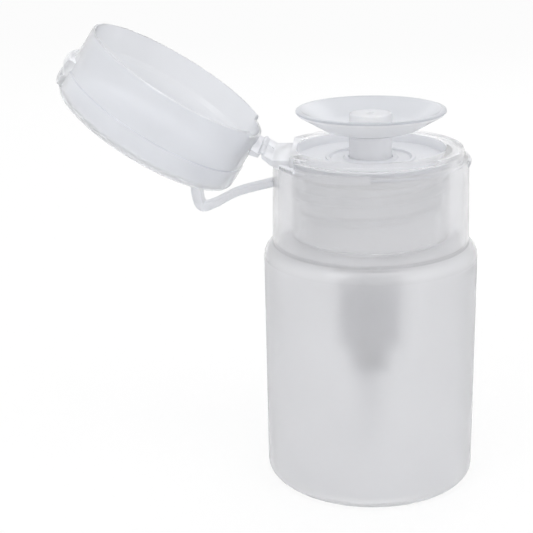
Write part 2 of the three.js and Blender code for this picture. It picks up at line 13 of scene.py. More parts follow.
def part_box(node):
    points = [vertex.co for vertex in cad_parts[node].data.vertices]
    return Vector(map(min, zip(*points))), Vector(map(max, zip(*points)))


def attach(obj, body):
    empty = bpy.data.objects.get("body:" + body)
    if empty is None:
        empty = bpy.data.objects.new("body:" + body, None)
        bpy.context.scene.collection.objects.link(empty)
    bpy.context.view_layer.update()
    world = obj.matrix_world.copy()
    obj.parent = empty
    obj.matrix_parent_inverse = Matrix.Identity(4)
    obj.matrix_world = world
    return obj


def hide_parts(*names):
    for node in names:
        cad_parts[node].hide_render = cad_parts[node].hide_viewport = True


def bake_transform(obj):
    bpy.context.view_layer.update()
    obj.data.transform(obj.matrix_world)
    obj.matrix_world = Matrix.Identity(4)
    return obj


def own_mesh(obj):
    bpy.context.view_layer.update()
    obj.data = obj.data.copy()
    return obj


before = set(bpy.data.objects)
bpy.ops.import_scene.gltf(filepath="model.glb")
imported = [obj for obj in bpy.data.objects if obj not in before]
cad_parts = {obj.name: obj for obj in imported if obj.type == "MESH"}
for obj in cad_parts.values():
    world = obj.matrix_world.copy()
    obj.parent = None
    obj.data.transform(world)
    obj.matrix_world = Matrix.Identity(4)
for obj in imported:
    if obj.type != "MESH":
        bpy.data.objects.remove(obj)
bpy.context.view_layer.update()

MM = 0.001

# Steps round a turn and along a corner's arc, and the share of a side that the arc may take
ROUND_STEPS = 144
SMALL_STEPS = 64
ARC_STEPS = 6
CORNER_SHARE = 0.48

# Angles above which an edge is shaded sharp, an edge is rounded and a corner counts as straight
SMOOTH_ANGLE = math.radians(32)
EDGE_ANGLE = math.radians(50)
STRAIGHT = math.radians(179)

# Points nearer than the first are merged, a radius below the second is on the axis, and faces
# that would coincide in a join or a cut are kept apart by the third
MERGE_GAP = 1e-4
TINY = 1e-6
OVERLAP = 0.01


def low(node):
    """Lowest corner of a CAD node, in millimetres."""
    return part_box(node)[0] / MM


def high(node):
    """Highest corner of a CAD node, in millimetres."""
    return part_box(node)[1] / MM


# Heights and radii read from the frame
BODY_R = high("bottle").x
NECK_TOP = high("bottle").z
COLLAR_FOOT = low("collar").z
DISH_R = high("press_dish").x
DISH_TOP = high("press_dish").z
HUB_FOOT = low("press_dish").z
GUIDE_FOOT = low("guide_ring").z
GUIDE_TOP = high("guide_ring").z
GUIDE_R = high("guide_ring").x
FLANGE_R = high("pump_housing").x
FLANGE_TOP = high("pump_housing").z
SOCKET_FOOT = low("pump_housing").z
PISTON_FOOT = low("piston").z
PISTON_TOP = high("piston").z
ROD_FOOT = low("piston_rod").z
ROD_TOP = high("piston_rod").z
ROD_R = high("piston_rod").x
GASKET_FOOT = low("neck_gasket").z
GASKET_TOP = high("neck_gasket").z
GASKET_R = high("neck_gasket").x
TUBE_FOOT = low("dip_tube").z
TUBE_TOP = high("dip_tube").z
TUBE_R = high("dip_tube").x
SPRING_FOOT = low("return_spring").z
SPRING_TOP = high("return_spring").z

# Bottle
BODY_WALL = 1.0
BASE_WALL = 1.2
BASE_CORNER = 1.6
GROOVE_INNER_R = 16.0
GROOVE_OUTER_R = 17.4
GROOVE_DEPTH = 0.4
GROOVE_SLOPE = 0.2
SHOULDER_Z = 48.8
SHOULDER_CORNER = 3.0
SHOULDER_FLAT_R = 18.0
NECK_R = 12.5
NECK_BORE = 11.2
NECK_FILLET = 0.8

# Thread of a 28 mm neck
PITCH = 4.233
NECK_THREAD_R = 13.55
SKIRT_THREAD_R = 12.95
NECK_THREAD_Z = 52.4
SKIRT_THREAD_Z = NECK_THREAD_Z + 1.5 * PITCH
THREAD_TURNS = 1.45
THREAD_SIDES = 96
THREAD_FADE = THREAD_SIDES / 8
THREAD_SINK = 0.15
THREAD_TIP = 0.15

# Collar, whose foot is sunk a little way into the shoulder
COLLAR_FOOT_R = 19.3
COLLAR_TOP_R = 18.9
COLLAR_WALL = 1.1
FOOT_OUTER_Z = SHOULDER_Z - 0.4
FOOT_INNER_Z = SHOULDER_Z - 0.1
STEP_Z = 65.4
RING_R = 17.95
RING_TOP = 67.3
RING_ROOF = 66.1
WELL_R = 14.4
DECK_Z = FLANGE_TOP + 0.15
DECK_TOP = DECK_Z + 1
DECK_HOLE = 8.15
SKIRT_BORE = 13.95
SKIRT_R = 15.3
SKIRT_FOOT = COLLAR_FOOT + 1
LAND_R = 18.3
LAND_TOP_R = RING_R - 0.62
CATCH_ROOT_R = 18.35
CATCH_R = 19.3
CATCH_HEIGHT = 1.5
CATCH_HALF = 4.0

# Chord and bracket at the hinge
CHORD_X = -15.2
CHORD_WALL = 1.0
CHORD_FLOOR = STEP_Z + OVERLAP
LEDGE_TOP = 66.3
LEDGE_HALF = 7.8
HINGE = Vector((-20.5, 0, 67.85))
OPEN_ANGLE = math.radians(147)
SLOT_HALF = 2.2
FILM_HALF = SLOT_HALF + 0.3
LUG_RISE = 1.3
LUG_HEIGHT = 1.8

# Webs across the hinge
WEB_CLEAR = 0.7
WEB_OUTER_Y = 7.4
WEB_PART = 0.05
WEB_THIN = 0.17
WEB_GROWTH = 0.08
WEB_STEPS = 6

# Strap: points (x, z) along its middle, and half its thickness at the collar and at the lid
STRAP_COURSE = (
    (-19.0, 60.2), (-25.8, 58.4), (-30.5, 56.05), (-33.04, 55.5), (-33.99, 57.8), (-34.14, 63.1))
STRAP_THIN = 0.625
STRAP_GROWTH = 0.575
STRAP_HALF = 1.8
STRAP_STEPS = 12

# Lid, in its closed place
LID_RIM_Z = 65.6
LID_RIM_R = 18.85
LID_R = 19.1
LID_DEPTH = 13.7
LID_TOP = LID_RIM_Z + LID_DEPTH
LID_WALL = 1.1
LID_RIM_WALL = 0.5
LID_STEP = 6.2
BAND_DEPTH = 8.7
BAND_STEP = 0.2
BAND_EDGE = 1.5
GATE_R = 1.6
GATE_DEPTH = 0.25
GATE_PIP_R = 0.4
GATE_PIP_DEPTH = 0.1
NOTCH_HEIGHT = 1.0
NOTCH_GAP = 0.3
TAB_REACH = 1.5
TAB_LOW = 6.8
TAB_HIGH = 9.9
TAB_DROP = 1.8
TAB_HALF = 7.2
TAB_ANGLE = math.radians(30)

# Press dish and its hub
HUB_OUTER_R = 4.15
HUB_BORE = 2.7
HUB_MOUTH = 3.4
BOSS_R = 4.1
BOSS_TOP = 73.8
OUTLET_R = 0.8
OUTLET_ROOM_R = 2.0
OUTLET_ROOF = 72.6
OUTLET_FLOOR = 70.75

# Guide ring, gasket and dip tube
GUIDE_BORE = 4.3
GUIDE_SPIGOT_R = 5.15
GUIDE_GROOVE_Z = 65.05
GASKET_BORE = 6.8
TUBE_WALL = 0.65
TUBE_CUT = 2.4

# Pump housing
FLANGE_Z = 62.9
BARREL_R = 6.2
BARREL_BORE = 5.3
CHAMBER_R = 3.85
SOCKET_R = 2.95
SOCKET_BORE = 2.05
SOCKET_ROOF = 19.9
INLET_R = 1.2
INLET_TOP = 21.1
INLET_ROOM_R = 2.75
SEAT_R = 1.6
SEAT_Z = 26.2

# Piston and rod
PISTON_BORE = 2.0
PISTON_WAIST = 3.9
PISTON_EDGE_R = 4.55
PISTON_LIP_R = 5.2
ROD_BORE = 1.1
ROD_NECK_R = 1.9
ROD_SHOULDER = PISTON_TOP + 0.15

# Return spring
WIRE_R = 0.35
COIL_R = 2.9
COIL_TURNS = 9
CLOSE_PITCH = 1.2
COIL_STEPS = 32
WIRE_SIDES = 10

# Where one plastic's look gives way to another on the same piece
HUB_LOOK_R = 4.2
HUB_LOOK_TOP = 69.4
TUBE_LOOK_TOP = 20.6
SOCKET_LOOK_TOP = 26.0
BARREL_LOOK_TOP = 40.4

# Reach of cutting blocks past the piece that they cut
FAR = 25.0
HINGE_FAR = 23.0
CUT_LOW = 60.0
CUT_HIGH = 90.0
COLLAR_CUT_HIGH = 70.0
SLOT_CUT_HIGH = 72.0


def rounded(points):
    """Points (a, b, radius) joined by straight lines, with each corner turned into an arc of its radius."""
    outline = []
    count = len(points)
    for i, point in enumerate(points):
        here = Vector(point[:2])
        radius = point[2] if len(point) > 2 else 0
        if not radius:
            outline.append(here)
            continue
        before = Vector(points[i - 1][:2]) - here
        after = Vector(points[(i + 1) % count][:2]) - here
        angle = before.angle(after)
        if angle > STRAIGHT:
            outline.append(here)
            continue
        reach = min(radius / math.tan(angle / 2), CORNER_SHARE * before.length, CORNER_SHARE * after.length)
        size = reach * math.tan(angle / 2)
        inward = (before.normalized() + after.normalized()).normalized()
        middle = here + inward * size / math.sin(angle / 2)
        first = here + before.normalized() * reach - middle
        turn = first.angle_signed(here + after.normalized() * reach - middle)
        for k in range(ARC_STEPS + 1):
            a = -turn * k / ARC_STEPS
            outline.append(middle + Vector((first.x * math.cos(a) - first.y * math.sin(a),
                                            first.x * math.sin(a) + first.y * math.cos(a))))
    return outline


def finish_mesh(name, bm):
    """Turns a bmesh in millimetres into a smooth shaded object in metres."""
    bmesh.ops.remove_doubles(bm, verts=bm.verts, dist=MERGE_GAP)
    bmesh.ops.recalc_face_normals(bm, faces=bm.faces)
    bmesh.ops.scale(bm, vec=(MM, MM, MM), verts=bm.verts)
    mesh = bpy.data.meshes.new(name)
    bm.to_mesh(mesh)
    bm.free()
    smooth(mesh)
    obj = bpy.data.objects.new(name, mesh)
    bpy.context.scene.collection.objects.link(obj)
    return obj


def smooth(mesh):
    """Shades a mesh smooth, apart from its sharp edges."""
    mesh.shade_smooth()
    mesh.set_sharp_from_angle(angle=SMOOTH_ANGLE)


def revolve(bm, outline, steps, start=0.0, end=2 * math.pi):
    """Adds an outline of (radius, z) turned about the Z axis, closed on itself; part turns get end caps."""
    whole = end - start > 2 * math.pi - TINY
    rings = []
    for i in range(steps if whole else steps + 1):
        a = start + (end - start) * i / steps
        rings.append([bm.verts.new((p.x * math.cos(a), p.x * math.sin(a), p.y)) for p in outline])
    count = len(outline)
    for i in range(steps):
        here, there = rings[i], rings[(i + 1) % len(rings)]
        for k in range(count):
            n = (k + 1) % count
            if outline[k].x < TINY and outline[n].x < TINY:
                continue
            if outline[k].x < TINY:
                bm.faces.new((here[k], here[n], there[n]))
            elif outline[n].x < TINY:
                bm.faces.new((here[k], here[n], there[k]))
            else:
                bm.faces.new((here[k], here[n], there[n], there[k]))
    if not whole:
        bm.faces.new(rings[0])
        bm.faces.new(list(reversed(rings[-1])))
    return rings


def skin(bm, rows):
    """Faces between rows of points that go round, and a cap on each end."""
    for here, there in zip(rows, rows[1:]):
        for k in range(len(here)):
            n = (k + 1) % len(here)
            bm.faces.new((here[k], here[n], there[n], there[k]))
    bm.faces.new(rows[0])
    bm.faces.new(list(reversed(rows[-1])))


def lathe(name, points, steps=ROUND_STEPS):
    """An outline of (radius, z, corner) turned all the way round."""
    bm = bmesh.new()
    revolve(bm, rounded(points), steps)
    return finish_mesh(name, bm)


def slab(name, points, y0, y1):
    """An outline of (x, z, radius) made solid from y0 to y1."""
    bm = bmesh.new()
    outline = rounded(points)
    near = [bm.verts.new((p.x, y0, p.y)) for p in outline]
    far = [bm.verts.new((p.x, y1, p.y)) for p in outline]
    bm.faces.new(near)
    bm.faces.new(list(reversed(far)))
    for i in range(len(outline)):
        n = (i + 1) % len(outline)
        bm.faces.new((near[i], near[n], far[n], far[i]))
    return finish_mesh(name, bm)


def block(name, x0, x1, z0, z1, half_width):
    """A box for cuts, as wide as half_width on both sides of the XZ plane."""
    return slab(name, [(x0, z0), (x1, z0), (x1, z1), (x0, z1)], -half_width, half_width)


def sector(name, points, half_angle, steps=20):
    """An outline of (radius, z, corner) turned through an angle on both sides of +X."""
    bm = bmesh.new()
    revolve(bm, rounded(points), steps, -half_angle, half_angle)
    return finish_mesh(name, bm)


def apply_modifiers(obj):
    """Turns an object's modifiers into its mesh."""
    graph = bpy.context.evaluated_depsgraph_get()
    mesh = bpy.data.meshes.new_from_object(obj.evaluated_get(graph))
    obj.modifiers.clear()
    obj.data = mesh
    smooth(mesh)


def combine(obj, other, operation):
    """Joins, cuts or keeps the common part with another object, which is used up."""
    mod = obj.modifiers.new(operation, "BOOLEAN")
    mod.operation = operation
    mod.solver = "MANIFOLD"
    mod.object = other
    apply_modifiers(obj)
    bpy.data.objects.remove(other)


def soften(obj, width, segments=2):
    """Rounds the edges that joins and cuts have left."""
    mod = obj.modifiers.new("edges", "BEVEL")
    mod.width = width * MM
    mod.segments = segments
    mod.limit_method = "ANGLE"
    mod.angle_limit = EDGE_ANGLE
    mod.use_clamp_overlap = True
    apply_modifiers(obj)


def lid_opened(obj):
    """Moves a piece that was made in the closed lid's place to the open lid's place."""
    hinge = HINGE * MM
    turn = Matrix.Translation(hinge) @ Matrix.Rotation(-OPEN_ANGLE, 4, "Y") @ Matrix.Translation(-hinge)
    obj.data.transform(turn)


def opened(x, z):
    """Point (x, z) of the closed lid in its open place."""
    c, s = math.cos(OPEN_ANGLE), math.sin(OPEN_ANGLE)
    dx, dz = x - HINGE.x, z - HINGE.z
    return Vector((HINGE.x + dx * c - dz * s, HINGE.z + dx * s + dz * c))


# Materials
NOISE_LOW = 0.3
NOISE_HIGH = 0.7
CLOUD_SCALE = 60
FINE_SCALE = 700
BRUSH_SCALE = 900
FOAM_SCALE = 1600
COLOUR_SPREAD = 0.008
ROUGH_SPREAD = 0.02
PLASTIC_IOR = 1.12
PLASTIC_RELIEF = 0.004
FOAM_RELIEF = 0.1


def node_material(name):
    """A new material with its node tree and its shader."""
    mat = bpy.data.materials.new(name)
    mat.use_nodes = True
    tree = mat.node_tree
    shader = tree.nodes["Principled BSDF"]
    return mat, tree, shader


def grain(tree, scale, detail=3.0, stretch=(1, 1, 1)):
    """A noise over the piece's own coordinates."""
    coords = tree.nodes.new("ShaderNodeTexCoord")
    mapping = tree.nodes.new("ShaderNodeMapping")
    mapping.inputs["Scale"].default_value = stretch
    tree.links.new(coords.outputs["Object"], mapping.inputs["Vector"])
    texture = tree.nodes.new("ShaderNodeTexNoise")
    texture.inputs["Scale"].default_value = scale
    texture.inputs["Detail"].default_value = detail
    tree.links.new(mapping.outputs["Vector"], texture.inputs["Vector"])
    return texture


def spread(tree, texture, low_value, high_value):
    """Maps a noise to a range of numbers."""
    span = tree.nodes.new("ShaderNodeMapRange")
    span.inputs["From Min"].default_value = NOISE_LOW
    span.inputs["From Max"].default_value = NOISE_HIGH
    span.inputs["To Min"].default_value = low_value
    span.inputs["To Max"].default_value = high_value
    tree.links.new(texture.outputs["Fac"], span.inputs["Value"])
    return span


def tinted(tree, texture, first, second):
    """Maps a noise to a blend of two colours."""
    ramp = tree.nodes.new("ShaderNodeValToRGB")
    ramp.color_ramp.elements[0].position = NOISE_LOW
    ramp.color_ramp.elements[0].color = (*first, 1)
    ramp.color_ramp.elements[1].position = NOISE_HIGH
    ramp.color_ramp.elements[1].color = (*second, 1)
    tree.links.new(texture.outputs["Fac"], ramp.inputs["Fac"])
    return ramp


def relieved(tree, shader, texture, strength, height):
    """Lets a noise raise the surface by a height in millimetres."""
    relief = tree.nodes.new("ShaderNodeBump")
    relief.inputs["Strength"].default_value = strength
    relief.inputs["Distance"].default_value = height * MM
    tree.links.new(texture.outputs["Fac"], relief.inputs["Height"])
    tree.links.new(relief.outputs["Normal"], shader.inputs["Normal"])


def plastic(name, colour, rough, see_through, gloss=0.0, gloss_rough=0.1):
    """Natural plastic: some light passes through each surface softly blurred, the rest is scattered back.

    The roughness stays on one side of 0.27 all over a material, because the render's noise filter
    treats smoother and rougher surfaces differently and would show the noise's pattern.
    """
    mat, tree, shader = node_material(name)
    clouds = grain(tree, CLOUD_SCALE, 4)
    fine = grain(tree, FINE_SCALE, 2)
    paler = [min(1, c + COLOUR_SPREAD) for c in colour]
    deeper = [c - COLOUR_SPREAD for c in colour]
    colours = tinted(tree, clouds, deeper, paler)
    roughness = spread(tree, fine, rough - ROUGH_SPREAD, rough + ROUGH_SPREAD)
    tree.links.new(colours.outputs["Color"], shader.inputs["Base Color"])
    tree.links.new(roughness.outputs["Result"], shader.inputs["Roughness"])
    shader.inputs["IOR"].default_value = PLASTIC_IOR
    shader.inputs["Transmission Weight"].default_value = see_through
    shader.inputs["Coat Weight"].default_value = gloss
    shader.inputs["Coat Roughness"].default_value = gloss_rough
    relieved(tree, shader, fine, 0.5, PLASTIC_RELIEF)
    return mat


def steel_material(name, first, second):
    """Drawn or ground steel between two shades."""
    mat, tree, shader = node_material(name)
    fine = grain(tree, BRUSH_SCALE, 2, (1, 1, 0.2))
    tree.links.new(tinted(tree, fine, first, second).outputs["Color"], shader.inputs["Base Color"])
    tree.links.new(spread(tree, fine, 0.2, 0.32).outputs["Result"], shader.inputs["Roughness"])
    shader.inputs["Metallic"].default_value = 1
    return mat


def foam_material():
    """White closed-cell foam."""
    mat, tree, shader = node_material("foam")
    cells = grain(tree, FOAM_SCALE)
    colours = tinted(tree, cells, (0.8, 0.8, 0.79), (0.9, 0.9, 0.89))
    tree.links.new(colours.outputs["Color"], shader.inputs["Base Color"])
    shader.inputs["Roughness"].default_value = 0.9
    relieved(tree, shader, cells, 0.4, FOAM_RELIEF)
    return mat


# Name, colour, roughness, see-through share, gloss and its roughness
FROSTED = plastic("frosted_body", (0.87, 0.872, 0.885), 0.55, 0.72, 0.25, 0.2)
SHOULDER = plastic("shoulder_plastic", (0.87, 0.872, 0.885), 0.55, 0.72, 0.9, 0.1)
# Neck inside the collar and the collar's foot: a paler, milkier copy of the body plastic, painted light that
# keeps these shaded places bright
NECK_PAINTED_LIGHT = plastic("neck_painted_light", (0.985, 0.985, 0.99), 0.33, 0.2, 0.2)
THREAD = plastic("thread_plastic", (0.93, 0.93, 0.94), 0.33, 0.4, 0.2)
COLLAR = plastic("collar_plastic", (0.94, 0.942, 0.955), 0.23, 0.83, 0.4)
SKIRT = plastic("skirt_plastic", (0.985, 0.985, 0.99), 0.23, 0.76, 0.3)
DECK = plastic("deck_plastic", (0.94, 0.947, 0.97), 0.33, 0.22, 0.4, 0.07)
LID = plastic("lid_plastic", (0.972, 0.98, 0.992), 0.305, 0.8, 0.6, 0.07)
# Lid's inner faces: a darker copy of the lid plastic, painted shade inside the open lid
LID_INSIDE_SHADE = plastic("lid_inside_painted_shade", (0.76, 0.772, 0.81), 0.305, 0.8, 0.6, 0.07)
# Thumb tab: a darker copy of the lid plastic, painted shade that tones down the tab's brightly lit face
TAB_SHADE = plastic("tab_painted_shade", (0.9, 0.907, 0.925), 0.4, 0.5, 0.2)
# Hinge land, bracket, catch, lugs and webs: a darker, hazier copy of the cap plastic, painted shade that
# tones down the light on these small parts
HINGE_SHADE_PLASTIC = plastic("hinge_painted_shade", (0.9, 0.908, 0.935), 0.36, 0.5, 0.2)
STRAP = plastic("strap_plastic", (0.86, 0.868, 0.895), 0.36, 0.55, 0.2)
DISH = plastic("dish_plastic", (0.67, 0.685, 0.72), 0.33, 0.6, 0.3)
# Dish's underside: a paler copy of the dish plastic, painted light against the shade under the dish
DISH_UNDER_LIGHT = plastic("dish_under_painted_light", (0.98, 0.983, 0.99), 0.33, 0.45, 0.3)
HUB = plastic("hub_plastic", (0.93, 0.932, 0.945), 0.33, 0.22, 0.3)
PUMP = plastic("pump_plastic", (0.985, 0.985, 0.99), 0.32, 0.8)
BARREL = plastic("barrel_plastic", (0.64, 0.64, 0.67), 0.45, 0.7)
SOCKET = plastic("socket_plastic", (0.4, 0.4, 0.43), 0.45, 0.65)
TUBE = plastic("tube_plastic", (0.97, 0.97, 0.975), 0.24, 0.92)
STEEL = steel_material("spring_steel", (0.26, 0.27, 0.3), (0.34, 0.35, 0.38))
BALL_STEEL = steel_material("ball_steel", (0.05, 0.055, 0.075), (0.08, 0.085, 0.11))
FOAM = foam_material()


def dress(obj, material, body, slot, *nodes):
    """Gives a piece its material, its body and the CAD nodes that it stands for."""
    obj.data.materials.clear()
    obj.data.materials.append(material)
    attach(obj, body)
    if nodes:
        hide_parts(*nodes)


def other_part(obj, material, inside):
    """Gives another plastic to the faces that inside() picks by their middle in millimetres and normal.

    The limits go a little past the lengths that they come from, to take in the rounded edges.
    """
    if material.name not in obj.data.materials:
        obj.data.materials.append(material)
    index = obj.data.materials.find(material.name)
    for face in obj.data.polygons:
        if inside(face.center / MM, face.normal):
            face.material_index = index


# Bottle


def thread(name, root, crest, first_z, turns, base_half, crest_half, start=0.0):
    """A screw thread of trapezoid section that fades out at both ends."""
    bm = bmesh.new()
    count = int(turns * THREAD_SIDES)
    sink = root - math.copysign(THREAD_SINK, crest - root)
    rows = []
    for i in range(count + 1):
        a = start + 2 * math.pi * i / THREAD_SIDES
        grow = min(1.0, (i + THREAD_TIP) / THREAD_FADE, (count - i + THREAD_TIP) / THREAD_FADE)
        tip = root + (crest - root) * math.sin(grow * math.pi / 2)
        z = first_z + PITCH * i / THREAD_SIDES
        section = [(sink, -base_half), (tip, -crest_half), (tip, crest_half), (sink, base_half)]
        rows.append([bm.verts.new((r * math.cos(a), r * math.sin(a), z + dz)) for r, dz in section])
    skin(bm, rows)
    return finish_mesh(name, bm)


def make_bottle():
    """Body with its shoulder and neck, and the neck's thread."""
    inner_r = BODY_R - BODY_WALL
    roof = SHOULDER_Z - BODY_WALL
    bottle = lathe("bottle_shell", [
        (0, 0), (GROOVE_INNER_R, 0, 0.1), (GROOVE_INNER_R + GROOVE_SLOPE, GROOVE_DEPTH, 0.1),
        (GROOVE_OUTER_R - GROOVE_SLOPE, GROOVE_DEPTH, 0.1), (GROOVE_OUTER_R, 0, 0.1),
        (BODY_R, 0, BASE_CORNER), (BODY_R, SHOULDER_Z, SHOULDER_CORNER),
        (NECK_R, SHOULDER_Z, NECK_FILLET), (NECK_R, NECK_TOP, 0.3),
        (NECK_BORE, NECK_TOP, 0.3), (NECK_BORE, roof, 1),
        (inner_r, roof, SHOULDER_CORNER - BODY_WALL),
        (inner_r, BASE_WALL, BASE_CORNER - 0.6), (0, BASE_WALL),
    ])
    dress(bottle, FROSTED, "bottle", "frosted_body", "bottle")
    other_part(bottle, SHOULDER, lambda p, n: p.z > SHOULDER_Z - SHOULDER_CORNER)
    # Painted light on the neck and the shoulder top that the collar covers
    other_part(bottle, NECK_PAINTED_LIGHT, lambda p, n: p.z > roof - 0.1 and p.xy.length < SHOULDER_FLAT_R)
    ridge = thread("neck_thread", NECK_R, NECK_THREAD_R, NECK_THREAD_Z, THREAD_TURNS, 1.0, 0.45)
    dress(ridge, THREAD, "bottle", "frosted_body")


# Collar


def make_collar_shell():
    """The turned part: outer wall, step, ring, well, deck and skirt."""
    ring_bore = RING_R - COLLAR_WALL
    well_wall = WELL_R + COLLAR_WALL
    return lathe("collar_shell", [
        (COLLAR_FOOT_R, FOOT_OUTER_Z, 0.08), (COLLAR_TOP_R, STEP_Z, 0.2), (RING_R, STEP_Z, 0.1),
        (RING_R, RING_TOP, 0.6), (WELL_R, RING_TOP, 0.3), (WELL_R, DECK_TOP, 0.2),
        (DECK_HOLE, DECK_TOP, 0.2), (DECK_HOLE, DECK_Z), (SKIRT_BORE, DECK_Z),
        (SKIRT_BORE, SKIRT_FOOT, 0.2), (SKIRT_R, SKIRT_FOOT, 0.2), (SKIRT_R, DECK_Z - COLLAR_WALL / 2),
        (well_wall, DECK_Z), (well_wall, RING_ROOF, 0.3),
        (ring_bore, RING_ROOF, 0.3), (ring_bore, STEP_Z - COLLAR_WALL / 2),
        (COLLAR_TOP_R - COLLAR_WALL, STEP_Z - COLLAR_WALL, 0.3),
        (COLLAR_FOOT_R - COLLAR_WALL, FOOT_INNER_Z, 0.1),
    ])


def add_land(collar):
    """Fills the ring behind the flat chord at the hinge, and cuts the chord."""
    floor = DECK_Z + 2 * OVERLAP
    step = STEP_Z - 2 * OVERLAP
    top = RING_TOP - OVERLAP
    land = lathe("land", [
        (0, floor), (LAND_R, floor), (LAND_R, step), (LAND_TOP_R, step), (LAND_TOP_R, top), (0, top)])
    combine(land, block("keep", -FAR, CHORD_X + CHORD_WALL, CUT_LOW, COLLAR_CUT_HIGH, FAR), "INTERSECT")
    combine(collar, land, "UNION")
    combine(collar, block("cut", -FAR, CHORD_X, CHORD_FLOOR, COLLAR_CUT_HIGH, FAR), "DIFFERENCE")


def add_bracket(collar):
    """The bracket that carries the hinge, with a slot that a thin film closes."""
    tip = HINGE.z - WEB_CLEAR
    root = CHORD_X + 0.5
    bracket = slab("bracket", [
        (root, STEP_Z - 1.1), (-COLLAR_TOP_R + 2.2, STEP_Z - 1.1), (-COLLAR_TOP_R, STEP_Z - 0.05, 0.3),
        (HINGE.x, tip - 0.4, 0.15), (HINGE.x, tip, 0.12), (HINGE.x + 0.5, tip, 0.3),
        (HINGE.x + 1.9, LEDGE_TOP, 0.4), (root, LEDGE_TOP),
    ], -LEDGE_HALF, LEDGE_HALF)
    slot = block("slot", -HINGE_FAR, -COLLAR_TOP_R, CUT_LOW, SLOT_CUT_HIGH, SLOT_HALF)
    combine(bracket, slot, "DIFFERENCE")
    combine(bracket, slab("film", [
        (-COLLAR_TOP_R + 1, STEP_Z - 0.1), (HINGE.x, tip - 0.35, 0.1), (HINGE.x, tip, 0.1),
        (HINGE.x + 0.5, tip, 0.3), (-COLLAR_TOP_R + 0.2, STEP_Z + 0.75), (-COLLAR_TOP_R + 1, STEP_Z + 0.6),
    ], -FILM_HALF, FILM_HALF), "UNION")
    combine(collar, bracket, "UNION")


def add_catch(collar):
    """The small ridge that the lid's rim snaps over."""
    top = STEP_Z - 0.1
    foot = top - CATCH_HEIGHT
    catch = sector("catch", [
        (CATCH_ROOT_R, foot), (CATCH_R - 0.3, foot, 0.2), (CATCH_R, top - CATCH_HEIGHT / 2, 0.4),
        (CATCH_R, top - 0.38, 0.2), (CATCH_R - 0.3, top, 0.1), (CATCH_ROOT_R, top),
    ], math.asin(CATCH_HALF / CATCH_R))
    combine(collar, catch, "UNION")


def make_collar():
    """Screw collar with its skirt, deck, ring, hinge bracket and catch, and the skirt's thread."""
    collar = make_collar_shell()
    add_land(collar)
    add_bracket(collar)
    add_catch(collar)
    soften(collar, 0.12)
    dress(collar, COLLAR, "collar", "clear_cap", "collar")
    other_part(collar, SKIRT, lambda p, n: p.xy.length < SKIRT_R + 0.1)
    # Painted light on the collar's foot, against the shade in its gap above the shoulder
    other_part(collar, NECK_PAINTED_LIGHT, lambda p, n: p.z < SHOULDER_Z + 0.3)
    other_part(collar, DECK, lambda p, n: p.xy.length < WELL_R + 0.05 and p.z > DECK_Z - 0.1)
    # Painted shade on the hinge land, the bracket and the catch
    other_part(collar, HINGE_SHADE_PLASTIC, lambda p, n: p.x < -COLLAR_FOOT_R - 0.05
               or p.x < CHORD_X + CHORD_WALL + 0.1 and p.z > STEP_Z - 1.2)
    other_part(collar, HINGE_SHADE_PLASTIC, lambda p, n: p.x > COLLAR_TOP_R - 0.3
               and p.z > STEP_Z - 1.8 and abs(p.y) < CATCH_HALF + 0.2)
    ridge = thread("skirt_thread", SKIRT_BORE, SKIRT_THREAD_R, SKIRT_THREAD_Z, THREAD_TURNS - 0.2,
                   0.85, 0.4, start=math.pi)
    dress(ridge, THREAD, "collar", "clear_cap")


# Lid


def make_lid_shell():
    """The turned part, with an inner step, a wider band at the roof and the gate's mark."""
    band = LID_R + BAND_STEP
    roof = LID_TOP - LID_WALL
    rim_bore = LID_RIM_R - LID_RIM_WALL
    gate_z = LID_TOP - GATE_DEPTH
    pip_z = LID_TOP - GATE_PIP_DEPTH
    return lathe("lid_shell", [
        (0, roof), (LID_R - LID_WALL, roof, 0.6), (LID_R - LID_WALL, LID_RIM_Z + LID_STEP, 0.2),
        (rim_bore, LID_RIM_Z + LID_STEP - LID_WALL, 0.3), (rim_bore, LID_RIM_Z, 0.15),
        (LID_RIM_R - LID_RIM_WALL / 2, LID_RIM_Z, 0.1), (LID_RIM_R, LID_RIM_Z + LID_RIM_WALL / 2, 0.1),
        (LID_R, LID_RIM_Z + BAND_DEPTH - BAND_STEP, 0.1), (band, LID_RIM_Z + BAND_DEPTH, 0.1),
        (band, LID_TOP, BAND_EDGE), (GATE_R, LID_TOP, 0.15), (GATE_R - 0.3, gate_z, 0.15),
        (GATE_PIP_R + 0.1, gate_z, 0.06), (GATE_PIP_R, pip_z, 0.05), (0, pip_z),
    ])


def add_tab(lid):
    """The thumb tab: a bump with a lip above it."""
    face = LID_R + TAB_REACH
    lip = face - 0.25
    root = LID_R - 0.5
    z0 = LID_RIM_Z + TAB_LOW
    z1 = LID_RIM_Z + TAB_HIGH
    lip_top = LID_TOP - TAB_DROP
    tab = sector("tab", [
        (root, z0), (face, z0, 0.8), (face, z0 + 1.75, 0.7), (face - 0.75, z1, 0.35),
        (lip, z1 + 0.55, 0.45), (lip, lip_top, 0.5), (root, lip_top + 0.9)], TAB_ANGLE, steps=48)
    combine(tab, block("keep", 5, FAR, CUT_LOW, CUT_HIGH, TAB_HALF), "INTERSECT")
    soften(tab, 0.5, 4)
    combine(lid, tab, "UNION")


def add_lugs(lid):
    """The two lugs that meet the bracket, and the thin film between them."""
    root = -LID_RIM_R + 0.25
    foot = HINGE.z + WEB_CLEAR
    for side in (-1, 1):
        ends = sorted((side * (SLOT_HALF - OVERLAP), side * WEB_OUTER_Y))
        lug = slab("lug", [
            (HINGE.x, foot, 0.1), (root, foot), (root, HINGE.z + LUG_HEIGHT),
            (-LID_RIM_R, HINGE.z + LUG_HEIGHT, 0.2), (HINGE.x, HINGE.z + LUG_RISE, 0.2)], *ends)
        combine(lid, lug, "UNION")
    combine(lid, slab("film", [
        (HINGE.x, foot, 0.1), (root, foot), (root, foot + 0.6), (HINGE.x, foot + 0.35, 0.1),
    ], -FILM_HALF, FILM_HALF), "UNION")


